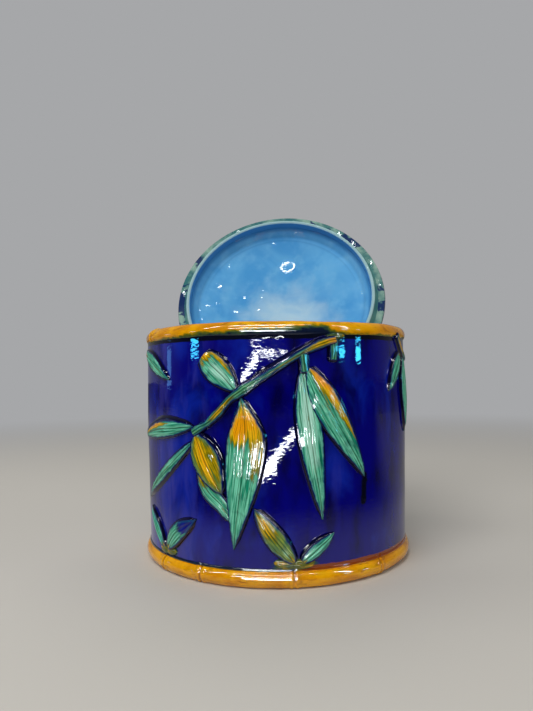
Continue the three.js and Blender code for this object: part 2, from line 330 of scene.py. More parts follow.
def sprig_piece(name, sprig, place, material, seed):
    """A raised leaf or twig: painted face, rounded shoulder, steep flank and a foot that meets the wall.
    place(across, up, height) puts a point on the surface that it lies on."""
    chords = np.linalg.norm(np.diff(np.array(sprig["spine"], float), axis=0), axis=1)
    rows = int(chords.sum() / ROW_STEP)
    spine, along, length = smooth_spine(sprig["spine"], rows)
    t = np.linspace(0, 1, rows)
    half = half_width(sprig, t)
    stops = np.array(sprig.get("skirt", PLAIN_SKIRT), float)
    # Round caps go beyond both ends.
    turn = np.linspace(0, math.pi / 2, CAP_ROWS + 1)[1:]
    cap = np.sin(turn) * stops[[0, -1], 1:].mean()
    spread = np.maximum(0.12, np.cos(turn))
    t = np.concatenate([np.zeros(CAP_ROWS), t, np.ones(CAP_ROWS)])
    skirt = [np.interp(t, stops[:, 0], stops[:, k]) for k in (1, 2)]
    taper = 0.36 + 0.64 * smoothstep(half / 1.6) if sprig["kind"] == "leaf" else np.ones(rows)
    cap = cap * taper[0]
    ends = half[[0, -1]] if sprig["kind"] == "twig" else (0, 0)
    half = np.concatenate([ends[0] * spread[::-1], half, ends[1] * spread])[:, None]
    at = np.vstack([spine[0] - along[0] * cap[::-1, None], spine, spine[-1] + along[-1] * cap[:, None]])
    direction = np.vstack([np.repeat(along[:1], CAP_ROWS, 0), along, np.repeat(along[-1:], CAP_ROWS, 0)])
    beyond = np.concatenate([cap[::-1], np.zeros(rows), cap])[:, None]
    travel = np.concatenate([-cap[::-1], np.linspace(0, length, rows), length + cap])[:, None]
    taper = np.concatenate([np.full(CAP_ROWS, taper[0]), taper, np.full(CAP_ROWS, taper[-1])])
    skirt = [one * taper for one in skirt]
    columns = int((2 * half.max() + stops[:, 1:].max(0).sum()) / COLUMN_STEP) + 2
    q = np.linspace(-1, 1, columns)[None, :]
    spread = np.concatenate([spread[::-1], np.ones(rows), spread])
    low, high = (half + (one * spread)[:, None] for one in skirt)
    side = np.where(q < 0, q * low, q * high)
    width = np.where(q < 0, skirt[0][:, None], skirt[1][:, None])
    slope = np.gradient(half[:, 0]) / np.gradient(travel[:, 0])
    outside = (np.abs(side) - half) / np.sqrt(1 + np.clip(slope, -1.5, 1.5)[:, None] ** 2)
    outside = np.where(beyond > 0, np.hypot(np.maximum(outside, 0), beyond), outside)
    s = side / np.maximum(half, 0.3)
    height, vein = sprig_height(sprig, t[:, None], s, side, half, outside / width, travel, seed)
    normal = np.stack([-direction[:, 1], direction[:, 0]], -1)
    flat = at[:, None, :] + normal[:, None, :] * side[..., None]
    points = place(flat[..., 0], flat[..., 1], height)
    under = place(flat[:, [0, -1], 0], flat[:, [0, -1], 1], height[:, [0, -1]] - 0.6)
    spot_t, spot_s = t[:, None] + 0 * s, np.clip(s, -1.2, 1.2)
    looks = {
        "vein": vein,
        "outside": outside,
        "flank": outside / width,
        "travel": travel + 0 * s,
        "side": side,
        "gold": patches(sprig.get("gold", ()), spot_t, spot_s),
        "bare": patches(sprig.get("bare", ()), spot_t, spot_s),
        "bleed": 0.42 + 0.5 * np.clip(outside / width, 0, 1) if sprig.get("banded") else 0 * s,
        "pale_and_highlight": patches(sprig.get("light", ()), spot_t, spot_s),
    }
    return closed_sprig(name, points, under, material, looks)


def sprig_height(sprig, t, s, side, half, flank, travel, seed):
    """Height over the surface and the depth of the incised veins, 0 to 1."""
    face = 1 - smoothstep((flank - 0.3) / 0.66)
    inside = np.clip(1 - np.abs(s), 0, 1)
    waver = 0.25 * np.sin(travel / 7 + seed) + 0.15 * np.sin(travel / 3.1 + 2 * seed)
    if sprig["kind"] == "twig":
        vein = 0.5 + 0.5 * np.cos(side * 2 * math.pi / 1.7 + waver * 3 + 0.5 * np.sin(travel / 2.3))
        crown = 0.55 * np.sqrt(inside)
        depth = 0.14 * smoothstep(inside * 2)
        knots = [hump(travel - at, 1.3) for at in sprig.get("knots", ())]
        crown = crown + 0.7 * np.sum(knots, 0) * smoothstep(inside * 2) if knots else crown
    else:
        lines = max(1.5, round(sprig["half"] / 1.7))
        place = (s + 0.09 * waver) * lines + 0.21 * np.sin(s * 4 + seed)
        vein = (0.5 + 0.5 * np.cos(place * 2 * math.pi)) ** 5
        vein = vein * (0.55 + 0.45 * np.sin(travel / 8 + 2.4 * np.round(place) + seed))
        vein = np.maximum(vein, hump(side + waver * 0.5, 0.4))
        share = np.clip(half / sprig["half"], 0, 1)
        crown = (1.1 * (1 - (1 - inside) ** 2) - 0.5 * hump(s, 0.28) * smoothstep(inside * 3)) * share
        depth = 0.28 * smoothstep(inside * 6) * smoothstep(half / 1.6)
    vein = vein * smoothstep(inside * 5)
    rise = sprig.get("rise", 2.0) + 0.12 * np.sin(travel / 5.3 + seed) * inside
    if sprig["kind"] == "leaf":
        rise = rise * (0.55 + 0.45 * smoothstep(half / 1.8))
    return (rise + crown * sprig.get("pillow", 1)) * face - depth * vein - SINK * (1 - face), vein


def closed_sprig(name, points, under, material, looks):
    """Closes a sprig's grid of points with a strip behind it and a fan at each end."""
    rows, columns = points.shape[:2]
    count = rows * columns
    row = np.arange(rows - 1)
    first, last = row * columns, row * columns + columns - 1
    low, high = count + 2 * row, count + 2 * row + 1
    quads = [
        grid_faces(rows, columns),
        np.stack([low, low + 2, high + 2, high], -1),
        np.stack([first, first + columns, low + 2, low], -1),
        np.stack([last, high, high + 2, last + columns], -1),
    ]
    fans = []
    for r, flip in ((0, 1), (rows - 1, -1)):
        a = r * columns + np.arange(columns - 1)
        corner = count + 2 * r
        fan = np.stack([a, np.full(columns - 1, corner), a + 1], -1)
        fans.append(np.vstack([fan, [r * columns + columns - 1, corner, corner + 1]])[:, ::flip])
    values = {k: np.concatenate([v.reshape(-1), v[:, [0, -1]].reshape(-1)]) for k, v in looks.items()}
    everything = np.concatenate([points.reshape(-1, 3), under.reshape(-1, 3)])
    quads, triangles = (np.concatenate(faces)[:, ::-1] for faces in (quads, fans))
    return make_piece(name, everything, quads, triangles, material, values)


# ------------------------------------------------------------------ glazes
def srgb(r, g, b):
    """A colour from its 0 to 255 values, as a shader socket wants it."""
    parts = [c / 255 for c in (r, g, b)]
    return (*(c / 12.92 if c <= 0.04045 else ((c + 0.055) / 1.055) ** 2.4 for c in parts), 1)


COBALT = srgb(2, 0, 114)
COBALT_DEEP = srgb(2, 0, 62)
COBALT_CLEAR = srgb(10, 34, 150)
# A lilac haze painted on the wall's blue as a reflection: painted sheen, not a colour of the glaze.
COBALT_PAINTED_SHEEN = srgb(60, 58, 148)
AMBER = srgb(230, 163, 0)
HONEY = srgb(202, 127, 0)
RUST = srgb(132, 58, 4)
RAW_CLAY = srgb(206, 190, 164)
BACKDROP = srgb(166, 167, 169)
FLOOR_GREY = srgb(196, 192, 184)
SEA_BLUE = srgb(76, 154, 212)
SKY_BLUE = srgb(102, 174, 222)
CLOUD_BLUE = srgb(178, 210, 226)


class Shading:
    """A node tree, built up from small steps."""

    def __init__(self, tree):
        self.tree = tree

    def node(self, kind, **settings):
        made = self.tree.nodes.new(kind)
        for key, value in settings.items():
            setattr(made, key, value)
        return made

    def put(self, value, socket):
        if isinstance(value, bpy.types.NodeSocket):
            self.tree.links.new(value, socket)
        else:
            socket.default_value = value

    def depth(self, place):
        """How far behind the middle a place or a direction is."""
        parts = self.node("ShaderNodeSeparateXYZ")
        self.put(place, parts.inputs[0])
        return parts.outputs["Y"]

    def blend(self, share, a, b, end):
        """Ends a tree with two shaders, a where the share is 0 and b where it is 1."""
        made = self.node("ShaderNodeMixShader")
        for value, socket in zip((share, a, b), made.inputs):
            self.put(value, socket)
        self.put(made.outputs[0], self.tree.nodes[end].inputs[0])


class Glaze(Shading):
    """A material that is painted and glazed in steps."""

    def __init__(self, name):
        self.material = bpy.data.materials.new(name)
        self.material.use_nodes = True
        super().__init__(self.material.node_tree)
        self.place = self.node("ShaderNodeTexCoord").outputs["Object"]

    def look(self, name):
        """One of the mesh's own values."""
        return self.node("ShaderNodeAttribute", attribute_name=name).outputs["Fac"]

    def math(self, operation, a, b=0.0):
        made = self.node("ShaderNodeMath", operation=operation)
        self.put(a, made.inputs[0])
        self.put(b, made.inputs[1])
        return made.outputs[0]

    def times(self, a, b):
        return self.math("MULTIPLY", a, b)

    def add(self, a, b, share=1.0):
        return self.math("ADD", a, self.times(b, share))

    def centred(self, value):
        """A value from 0 to 1, moved to lie evenly round 0."""
        return self.math("SUBTRACT", value, 0.5)

    def between(self, value, low, high):
        """0 at low, 1 at high, smooth in between."""
        made = self.node("ShaderNodeMapRange", interpolation_type="SMOOTHSTEP")
        self.put(value, made.inputs["Value"])
        made.inputs["From Min"].default_value = low
        made.inputs["From Max"].default_value = high
        return made.outputs["Result"]

    def noise(self, size, stretch=(1, 1, 1), detail=3.0, place=None, distortion=0.0):
        """Cloudy noise from 0 to 1, with spots about size millimetres across."""
        scaled = self.node("ShaderNodeVectorMath", operation="MULTIPLY")
        self.put(self.place if place is None else place, scaled.inputs[0])
        unit = 1.0 if place is not None else 1 / (size * MM)
        scaled.inputs[1].default_value = [unit * part for part in stretch]
        made = self.node("ShaderNodeTexNoise")
        self.put(scaled.outputs[0], made.inputs["Vector"])
        made.inputs["Scale"].default_value = 1.0
        made.inputs["Detail"].default_value = detail
        made.inputs["Distortion"].default_value = distortion
        return made.outputs["Fac"]

    def streaks(self, along, across):
        """Brush streaks that run along a leaf or twig."""
        place = self.node("ShaderNodeCombineXYZ")
        self.put(self.times(self.look("travel"), along), place.inputs[0])
        self.put(self.times(self.look("side"), across), place.inputs[1])
        return self.noise(1.0, place=place.outputs[0], detail=4.0)

    def mix(self, share, a, b, blend="MIX"):
        made = self.node("ShaderNodeMix", data_type="RGBA", blend_type=blend)
        self.put(share, made.inputs[0])
        self.put(a, made.inputs[6])
        self.put(b, made.inputs[7])
        return made.outputs[2]

    def ramp(self, value, *stops):
        made = self.node("ShaderNodeValToRGB")
        self.put(value, made.inputs[0])
        points = made.color_ramp.elements
        while len(points) < len(stops):
            points.new(0.5)
        for point, (at, colour) in zip(points, stops):
            point.position = at
            point.color = colour
        return made.outputs[0]

    def bump(self, height, depth, normal=None):
        """Unevenness of a depth in millimetres."""
        made = self.node("ShaderNodeBump")
        made.inputs["Strength"].default_value = 1.0
        made.inputs["Distance"].default_value = depth * MM
        self.put(height, made.inputs["Height"])
        if normal is not None:
            self.put(normal, made.inputs["Normal"])
        return made.outputs[0]

    def glossy(self, colour, gloss=0.03, fine=0.03, coarse=0.03, matt=None):
        """Ends the material, with faint orange peel and slow waves. matt is 1 where it is unglazed."""
        waves = self.bump(self.noise(14, (1, 1, 1.5), 2.0), coarse)
        peel = self.bump(self.noise(4.2, (1, 1, 1.8), 1.0, distortion=0.7), fine, waves)
        shader = self.tree.nodes["Principled BSDF"]
        self.put(colour, shader.inputs["Base Color"])
        rough = self.add(gloss - 0.01, self.noise(7), 0.02)
        if matt is not None:
            rough = self.math("MAXIMUM", rough, self.times(matt, 0.8))
        self.put(rough, shader.inputs["Roughness"])
        shader.inputs["IOR"].default_value = 1.58
        self.put(peel, shader.inputs["Normal"])
        return self.material


def pale_blue(glaze, cloud):
    """The milky blue of the insides: clear blue with paler clouds."""
    shallow = glaze.between(glaze.noise(34, detail=3.0, distortion=0.8), 0.3, 0.75)
    blue = glaze.mix(shallow, SEA_BLUE, SKY_BLUE)
    thin = glaze.times(glaze.between(glaze.noise(10, detail=3.0), 0.45, 0.85), 0.5)
    blue = glaze.mix(thin, blue, srgb(130, 192, 228))
    milk = glaze.add(cloud, glaze.centred(glaze.noise(18, detail=4.0, distortion=0.5)), 0.9)
    return glaze.mix(glaze.between(milk, 0.2, 1.2), blue, CLOUD_BLUE)


def cobalt(glaze, lighter=0.0):
    """Deep blue with darker runs and clearer patches. Where lighter is given, the clearer patches grow and
    carry a painted lilac sheen that stands for a reflection.
    """
    runs = glaze.between(glaze.noise(13, (1, 1, 0.35), 4.0), 0.42, 0.72)
    blue = glaze.mix(runs, COBALT, COBALT_DEEP)
    clear = glaze.add(glaze.noise(22, (1, 1, 0.5), 4.0, distortion=0.6), lighter)
    blue = glaze.mix(glaze.between(clear, 0.5, 0.8), blue, COBALT_CLEAR)
    painted_haze = glaze.between(glaze.noise(9, (1, 1, 0.25), 4.0, distortion=0.5), 0.46, 0.7)
    return glaze.mix(glaze.times(glaze.times(painted_haze, lighter), 3.0), blue, COBALT_PAINTED_SHEEN)


def wall_glaze():
    glaze = Glaze("cobalt_wall")
    ragged = glaze.centred(glaze.noise(6, (1, 1, 2), 4.0))
    # The wall's clear values bring clearer glaze, and also a painted reflection sheen on the left side.
    blue = cobalt(glaze, glaze.look("clear"))
    # Near-black where glaze runs in drips, and along the foot and under the rim partly pooled glaze, partly
    # painted shade in the crease.
    pool = glaze.between(glaze.add(glaze.look("pool"), ragged, 0.7), 0.2, 0.8)
    outside = glaze.mix(pool, blue, srgb(3, 5, 24))
    olive = glaze.times(glaze.look("olive"), glaze.add(0.9, ragged, 2.4))
    outside = glaze.mix(glaze.between(olive, 0.15, 0.4), outside, srgb(30, 70, 60))
    outside = glaze.mix(glaze.between(olive, 0.35, 0.7), outside, srgb(170, 140, 10))
    rust = glaze.between(glaze.add(glaze.look("rust"), ragged), 0.3, 0.7)
    outside = glaze.mix(rust, outside, RUST)
    colour = glaze.mix(glaze.look("inside"), outside, pale_blue(glaze, 0.35))
    grain = glaze.mix(glaze.noise(3, detail=5.0), RAW_CLAY, srgb(168, 146, 116))
    colour = glaze.mix(glaze.look("raw"), colour, grain)
    return glaze.glossy(colour, matt=glaze.look("raw"))


def amber_glaze():
    glaze = Glaze("amber_band")
    honey = glaze.between(glaze.noise(15, (1, 1, 1.6), 4.0, distortion=0.5), 0.38, 0.72)
    colour = glaze.mix(honey, AMBER, HONEY)
    spots = glaze.between(glaze.noise(9, (1, 1, 2.6), 5.0, distortion=0.8), 0.54, 0.74)
    colour = glaze.mix(glaze.times(spots, 0.75), colour, srgb(146, 82, 0))
    ragged = glaze.centred(glaze.noise(7, (1, 1, 2.2), 4.0))
    rust = glaze.between(glaze.add(glaze.look("rust"), ragged, 0.9), 0.35, 0.65)
    colour = glaze.mix(rust, colour, RUST)
    fringe = glaze.centred(glaze.noise(3.4, (1, 1, 2), 4.0))
    bled = glaze.add(glaze.add(glaze.look("bleed"), ragged, 0.8), fringe, 0.5)
    run = glaze.ramp(
        bled,
        (0.2, srgb(160, 130, 4)),
        (0.4, srgb(104, 104, 14)),
        (0.6, srgb(46, 76, 50)),
        (0.85, srgb(14, 26, 52)),
    )
    colour = glaze.mix(glaze.between(bled, 0.1, 0.4), colour, run)
    crease = glaze.mix(1.0, colour, srgb(120, 70, 40), "MULTIPLY")
    cracked = glaze.times(glaze.look("crease"), glaze.between(glaze.noise(5), 0.35, 0.6))
    colour = glaze.mix(cracked, colour, crease)
    return glaze.glossy(colour, gloss=0.04, fine=0.015, coarse=0.06)


def leaf_glaze(name, dark, light):
    """Painted relief: streaked green with gold on its face, running into cobalt down its flanks, which
    darken to near-black partly as pooled glaze and partly as painted shade.
    """
    glaze = Glaze(name)
    streak = glaze.streaks(0.045, 0.8)
    off = glaze.centred(streak)
    ragged = glaze.centred(glaze.noise(4.5, detail=4.0))
    green = glaze.mix(glaze.between(streak, 0.36, 0.64), dark, light)
    pools = glaze.between(glaze.noise(11, detail=4.0, distortion=0.8), 0.5, 0.72)
    green = glaze.mix(glaze.times(pools, 0.6), green, srgb(22, 96, 88))
    # Pale streaks: partly the leaf's own pale paint, partly painted highlights.
    pale_and_highlight = glaze.add(glaze.look("pale_and_highlight"), glaze.centred(glaze.streaks(0.06, 1.5)), 1.6)
    green = glaze.mix(glaze.between(pale_and_highlight, 0.3, 0.9), green, srgb(178, 232, 212))
    gilt = glaze.add(glaze.add(glaze.look("gold"), off, 1.5), ragged, 0.5)
    gold = glaze.ramp(
        gilt,
        (0.2, srgb(62, 92, 30)),
        (0.38, srgb(122, 114, 4)),
        (0.56, srgb(180, 152, 6)),
        (0.76, srgb(238, 184, 22)),
        (1.0, srgb(242, 160, 8)),
    )
    colour = glaze.mix(glaze.between(gilt, 0.2, 0.4), green, gold)
    fine = glaze.between(glaze.streaks(0.03, 1.9), 0.56, 0.7)
    marks = glaze.math("MAXIMUM", glaze.times(glaze.look("vein"), 0.9), glaze.times(fine, 0.55))
    shade = glaze.mix(1.0, colour, srgb(78, 112, 84), "MULTIPLY")
    colour = glaze.mix(marks, colour, shade)
    bare = glaze.between(glaze.add(glaze.look("bare"), off, 0.9), 0.35, 0.6)
    colour = glaze.mix(bare, colour, cobalt(glaze))
    # The near-black flank colours are partly pooled cobalt and partly painted shade for the dark that steep
    # flanks mirror.
    flank = glaze.ramp(
        glaze.add(glaze.look("flank"), ragged, 0.25),
        (0.0, srgb(16, 66, 104)),
        (0.12, srgb(6, 26, 92)),
        (0.3, srgb(3, 3, 52)),
        (0.62, srgb(1, 1, 16)),
        (0.95, COBALT),
    )
    edge = glaze.add(glaze.look("outside"), ragged, 2.6)
    tint = glaze.times(glaze.between(edge, -1.7, 0.0), 0.4)
    colour = glaze.mix(tint, colour, srgb(20, 86, 104))
    colour = glaze.mix(glaze.between(edge, -0.5, 0.4), colour, flank)
    return glaze.glossy(colour, gloss=0.045, fine=0.03, coarse=0.06)


def dome_glaze():
    glaze = Glaze("pale_blue_lid")
    hollow = pale_blue(glaze, glaze.look("cloud"))
    hollow = glaze.mix(glaze.times(glaze.look("deep"), 0.8), hollow, srgb(46, 112, 172))
    colour = glaze.mix(glaze.look("hollow"), cobalt(glaze), hollow)
    mottled = glaze.between(glaze.noise(12, detail=4.0), 0.35, 0.65)
    seat = glaze.mix(mottled, srgb(58, 112, 114), srgb(140, 172, 158))
    navy = glaze.add(glaze.noise(7, detail=4.0, distortion=0.6), glaze.look("navy"), 0.22)
    seat = glaze.mix(glaze.times(glaze.between(navy, 0.58, 0.66), 0.9), seat, srgb(18, 34, 92))
    colour = glaze.mix(glaze.look("seat"), colour, seat)
    return glaze.glossy(colour, gloss=0.02, fine=0.012, coarse=0.02)


def flange_glaze():
    glaze = Glaze("teal_flange")
    teal = glaze.mix(glaze.noise(10, detail=4.0), srgb(38, 100, 112), srgb(92, 150, 142))
    colour = glaze.mix(glaze.look("inner"), teal, srgb(58, 126, 186))
    # A near-white line along the flange's crest: a painted highlight.
    colour = glaze.mix(glaze.times(glaze.look("crest"), 0.7), colour, srgb(176, 208, 212))
    return glaze.glossy(colour, gloss=0.08)


GREENS = leaf_glaze("green_leaf", srgb(22, 140, 106), srgb(128, 220, 186))
GOLDS = leaf_glaze("golden_leaf", srgb(84, 122, 52), srgb(158, 168, 70))
TWIGS = leaf_glaze("twig", srgb(40, 118, 92), srgb(108, 178, 132))
AMBERS = amber_glaze()


# ------------------------------------------------------------------ the pot
def build_body():
    foot_wall, rim_wall = WALL[0, 1], WALL[-1, 1]
    profile = filleted(
        [
            (0, FOOT_RECESS, 0),
            (FOOT_RING[0] - 1, FOOT_RECESS, 0.6),
            (FOOT_RING[0], 0, 0.8),
            (FOOT_RING[1], 0, 1),
            (BODY_FOOT, 2, 1),
            (BODY_FOOT, 9, 1),
            (foot_wall - 1, 10.6, 0.5),
            (foot_wall, 12, 1),
            *((radius, height, 3) for height, radius in WALL[1:]),
            (rim_wall, RIM_LOW + 3, 1),
            (MOUTH + 1.5, RIM_LOW + 3, 1),
            (WALL_INSIDE, RIM_LOW - 4, 4),
            (WALL_INSIDE, FLOOR_TOP, 7),
            (0, FLOOR_TOP, 0),
        ],
        1.2,
    )

    def shape(across, radius, height):
        outer = smoothstep((radius - 94) / 2)
        lumps = wall_radius(across, height) - np.interp(height, WALL[:, 0], WALL[:, 1])
        rings = 0.08 * np.sin(height / 2.3) * smoothstep((89 - radius) / 1)
        return radius + lumps * outer + rings * smoothstep((height - FLOOR_TOP - 4) / 8), height

    def looks(across, radius, height):
        turn = from_front(across)
        outside = radius > WALL_MIDDLE
        drips = [hump(turn - at - 0.06 * (height - 60), 2.7) for at in (59.5, 59.5 - math.pi * OUTER)]
        drips = sum(drips) * smoothstep((height - 46) / 3) * smoothstep((72 - height) / 6)
        # The dark lines along the foot and under the rim are partly pooled glaze and partly painted shade in
        # the crease.
        foot_line = smoothstep((13.2 - height) / 1.6)
        rim_line = smoothstep((height - RIM_LOW + 1.6) / 1.4) * outside
        east = smoothstep((turn - 8) / 20) * smoothstep((190 - turn) / 40)
        spots = ((9, 14, 13, 3), (-88, 14.6, 10, 3), (37, 154, 6, 3))
        olive = sum(hump(turn - u, wide) * hump(height - z, tall) for u, z, wide, tall in spots)
        return {
            "pool": np.clip(drips + foot_line * (1 - east) + rim_line, 0, 1),
            "rust": east * smoothstep((15.2 - height) / 2.4) * outside,
            "inside": smoothstep((WALL_MIDDLE - radius) / 1) * smoothstep((height - 7) / 1),
            "raw": smoothstep((3 - height) / 1.5),
            # Clearer glaze, with a painted reflection sheen on the left side and in a patch right of the
            # front.
            "clear": 0.16 * hump(turn + 84, 34) + 0.1 * hump(turn - 40, 8) * hump(height - 75, 26),
            "olive": olive * outside,
        }

    piece = turned("pot_body_clay", profile, TURNED_SIDES, wall_glaze(), looks, shape=shape)
    fit(piece, "pot", "cobalt_glaze", "pot_body")


def joints(across, azimuths, strength=0.5, gap=1.8):
    """How much a bamboo roll swells near its joints, and how deep its creases are."""
    swell, crease = 0, 0
    for azimuth in azimuths:
        away = (across / OUTER - math.radians(azimuth) + math.pi) % (2 * math.pi) - math.pi
        away = away * OUTER
        rings = hump(away - gap, 0.7 * gap) + hump(away + gap, 0.7 * gap)
        swell = swell + strength * (rings - hump(away, 0.6))
        crease = crease + hump(away, 0.6) + 0.25 * (hump(away - 3.6, 0.7) + hump(away + 3.6, 0.7))
    return swell, np.clip(crease, 0, 1)


def roll_shape(centre, azimuths, seed, strength=0.5, gap=1.8):
    """Moves the points of a roll to make it uneven, with bamboo joints."""

    def shape(across, radius, height):
        out, up = radius - centre[0], height - centre[1]
        reach = np.hypot(out, up)
        on_roll = smoothstep((reach - 4) / 1) * smoothstep((out + 3) / 3)
        swell = joints(across, azimuths, strength, gap)[0] + 0.22 * wave_noise(across, 0, 42, seed)
        drift = 0.3 * wave_noise(across, 0, 120, seed + 1)
        factor = 1 + swell * on_roll / ROLL
        height = centre[1] + up * factor + drift * on_roll * (up > -4)
        return centre[0] + out * factor, np.maximum(height, 0)

    return shape


def roll_loop(centre, start, end, others):
    """A closed profile: a round roll from one angle to another, then the other corners."""
    angles = np.radians(np.linspace(start, end, 60))
    arc = np.stack([centre[0] + ROLL * np.cos(angles), centre[1] + ROLL * np.sin(angles)], -1)
    tail = filleted([(*arc[-1], 0), *others, (*arc[0], 0)], 0.8)
    return np.vstack([arc, tail[1:]])


def build_rim():
    centre = (OUTER - ROLL, POT_TOP - ROLL)
    azimuths = (-64, 96, 218)
    inner = [(MOUTH + 1.3, 163.6, 1.5), (MOUTH + 0.3, 161, 2), (MOUTH, RIM_LOW + 0.5, 1)]
    profile = roll_loop(centre, -78, 128, inner)
    # How high the wall's blue has run into the amber: across and up.
    bleed_top = np.array([
        (-314, 156), (-110, 156.4), (-80, 157.4), (-55, 159), (-20, 160), (2, 160.4), (16, 161.8),
        (25, 162.8), (33, 161.6), (39, 158), (50, 157), (90, 157.4), (314, 156),
    ])

    def looks(across, radius, height):
        limit = np.interp(from_front(across), bleed_top[:, 0], bleed_top[:, 1])
        bleed = np.clip((limit - height) / 5.5 + 0.45, 0, 1.0)
        rust = 0.55 * hump(height - RIM_LOW - 1.5, 1.6)
        return {
            "bleed": bleed * smoothstep((radius - WALL_MIDDLE) / 1),
            "rust": rust * smoothstep((radius - WALL_MIDDLE) / 2),
            "crease": joints(across, azimuths)[1] * smoothstep((radius - 90) / 3),
        }

    shape = roll_shape(centre, azimuths, 11, 0.9, 3.2)
    piece = turned("rim_roll", profile, ROLL_SIDES, AMBERS, looks, shape=shape)
    fit(piece, "pot", "amber_glaze", "rim_band")


def build_foot():
    centre = (OUTER - ROLL, ROLL)
    azimuths = (-52, -31, 5, 42, 100, 139, 183, 228, 262)
    foot_wall = WALL[0, 1]
    cove = [(foot_wall + 0.7, 10.8, 1), (foot_wall + 0.3, 12.3, 0.5), (foot_wall - 2, 12.2, 0.5)]
    profile = roll_loop(centre, -94, 62, [*cove, (90.0, 9.4, 0.5), (90.0, 0.2, 0.2)])

    def looks(across, radius, height):
        turn = from_front(across)
        high = smoothstep((height - 10.2) / 1.6)
        east = smoothstep((turn - 2) / 16) * smoothstep((190 - turn) / 40)
        return {
            "bleed": 1.1 * high * (1 - east),
            "rust": high * east * 1.1,
            "crease": joints(across, azimuths)[1],
        }

    piece = turned("foot_roll", profile, ROLL_SIDES, AMBERS, looks, shape=roll_shape(centre, azimuths, 17))
    fit(piece, "pot", "amber_glaze", "foot_band")


# Leaves and twigs. Each has its middle line in millimetres across and up the wall, then what leaf() or
# twig() takes. A skirt gives the widths of the flanks as (t, left, right), with t from 0 to 1 along the
# sprig, and gold, bare and light are soft spots as patches() takes them.
# The light spots paint pale streaks: partly the leaves' own pale paint, partly painted highlights.
BRANCH_SPINE = (
    (37, 154), (30, 152), (21, 148.4), (8, 141.2), (-13, 128.5), (-24, 121.6), (-31, 116.5), (-38, 109),
    (-46, 102), (-57, 96),
)
BRANCH_GOLD = (
    (0.12, 0, 0.1, 1.6, 0.7), (0, 0, 0.05, 2, 0.9), (0.36, 0.3, 0.14, 0.6, 0.6), (0.78, 0, 0.1, 0.9, 0.75),
)
BRANCH_SKIRT = (
    (0, 2, 2), (0.1, 2.6, 2.4), (0.22, 4.8, 2.6), (0.47, 5.2, 2.6), (0.54, 2.6, 2.4), (0.7, 2, 2), (1, 2, 2),
)
ROOT_GOLD = (0, 0, 0.12, 1.5, 0.7)
